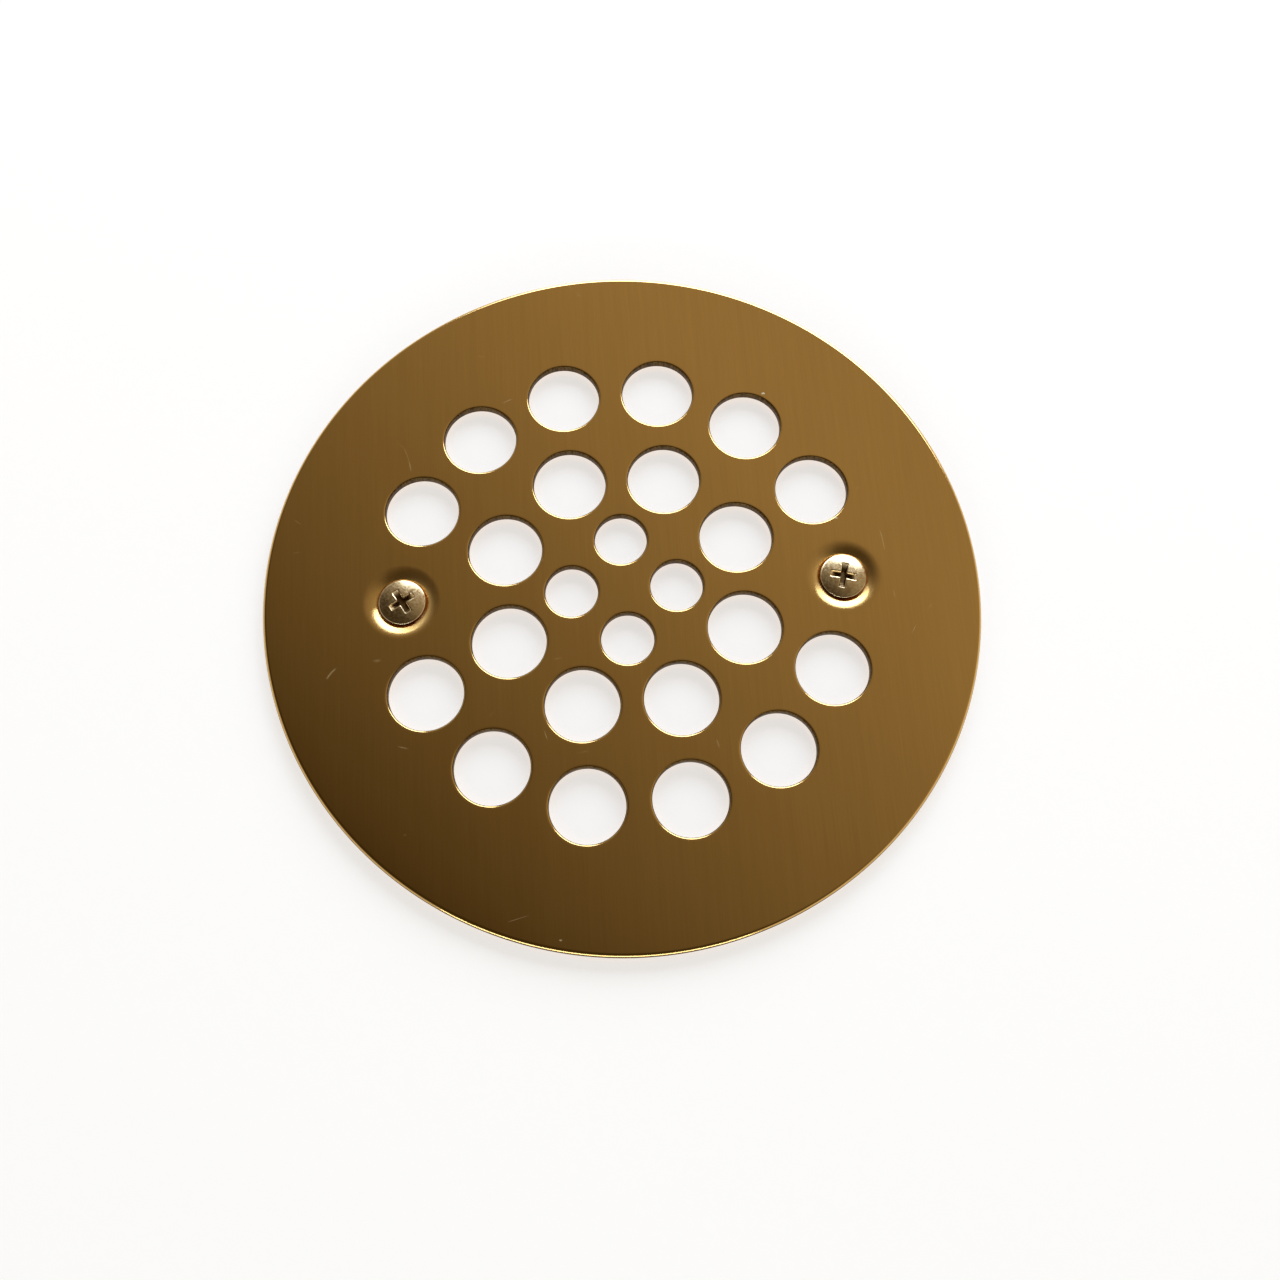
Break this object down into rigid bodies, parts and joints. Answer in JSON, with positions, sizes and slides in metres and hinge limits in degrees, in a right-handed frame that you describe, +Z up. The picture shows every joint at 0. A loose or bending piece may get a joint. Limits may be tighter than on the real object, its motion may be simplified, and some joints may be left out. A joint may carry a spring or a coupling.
{
  "type": "floor drain grate",
  "caption": "Round flat brass drain strainer with circles of drain holes and a pressed dimple at each side for the countersunk screw that holds it to the drain.",
  "frame": {"origin": "centre of the disc's flat underside, which rests on the drain body's ledge", "axes": "+Z up out of the drain, through the top face; the two screws lie on X"},
  "size_m": [0.108, 0.108, 0.0095],
  "materials": {
    "plate_brass": "fine brushed brass, lines along Y",
    "screw_gold": "bright plated, slightly worn"
  },
  "bodies": {
    "grate": {"grate_plate": "plate_brass"},
    "left_screw": {"left_screw": "screw_gold"},
    "right_screw": {"right_screw": "screw_gold"}
  },
  "joints": [
    {"name": "left_screw_out", "type": "slide", "parent": "grate", "child": "left_screw", "axis": [0, 0, 1], "range_m": [0, 0.014]},
    {"name": "right_screw_out", "type": "slide", "parent": "grate", "child": "right_screw", "axis": [0, 0, 1], "range_m": [0, 0.014]}
  ]
}
